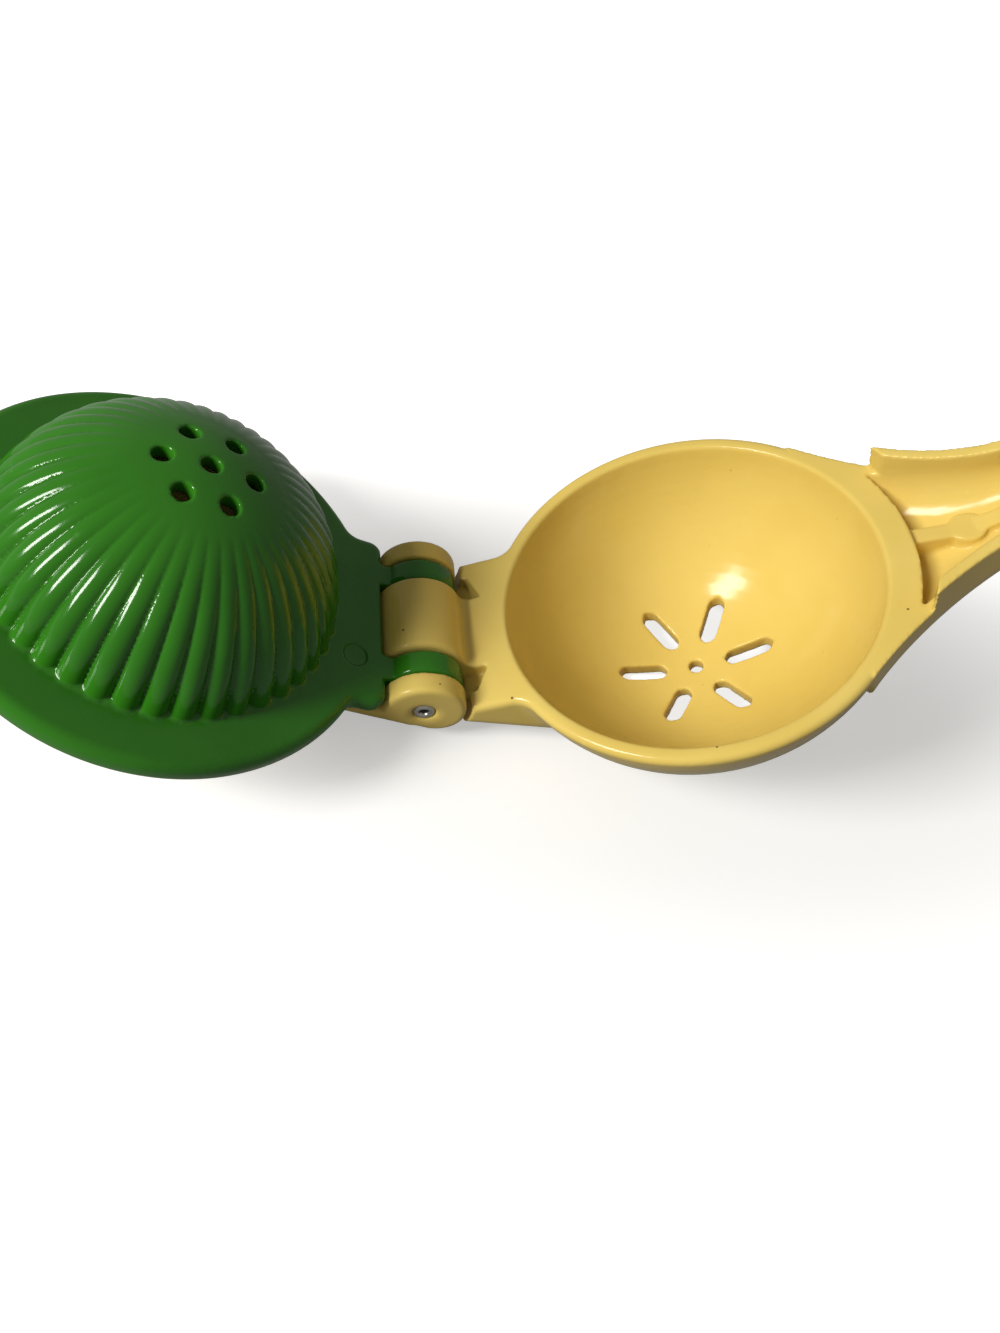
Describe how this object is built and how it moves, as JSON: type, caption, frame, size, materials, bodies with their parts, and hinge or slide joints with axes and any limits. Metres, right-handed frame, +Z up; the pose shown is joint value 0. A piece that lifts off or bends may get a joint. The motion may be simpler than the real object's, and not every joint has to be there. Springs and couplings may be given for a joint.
{
  "type": "hinged citrus squeezer",
  "caption": "Hinged lever squeezer for lemons and limes: drained bowl lever, ribbed lime-cup insert and press lever on one hinge pin.",
  "frame": {"origin": "middle of the underside of the whole squeezer as it lies open on a table", "axes": "+Z up, +X from the press handle's end towards the bowl lever's handle, +Y along the hinge pin away from the viewer of the picture"},
  "size_m": [0.375, 0.0836, 0.1552],
  "materials": {
    "yellow_enamel": "glossy yellow enamel on cast aluminium",
    "green_enamel": "glossy green enamel on cast aluminium",
    "steel": "plain steel tubular rivet"
  },
  "bodies": {
    "bowl_lever": {"bowl_lever": "yellow_enamel", "hinge_pin": "steel"},
    "lime_insert": {"lime_insert": "green_enamel"},
    "press_lever": {"press_lever": "yellow_enamel"}
  },
  "joints": [
    {"name": "insert_swing", "type": "hinge", "parent": "bowl_lever", "child": "lime_insert", "pos_m": [0.02843, 0, 0.0088], "axis": [0, 1, 0], "range_deg": [0, 134.4]},
    {"name": "press_swing", "type": "hinge", "parent": "lime_insert", "child": "press_lever", "pos_m": [0.02843, 0, 0.0088], "axis": [0, 1, 0], "range_deg": [-134.4, 0]}
  ]
}
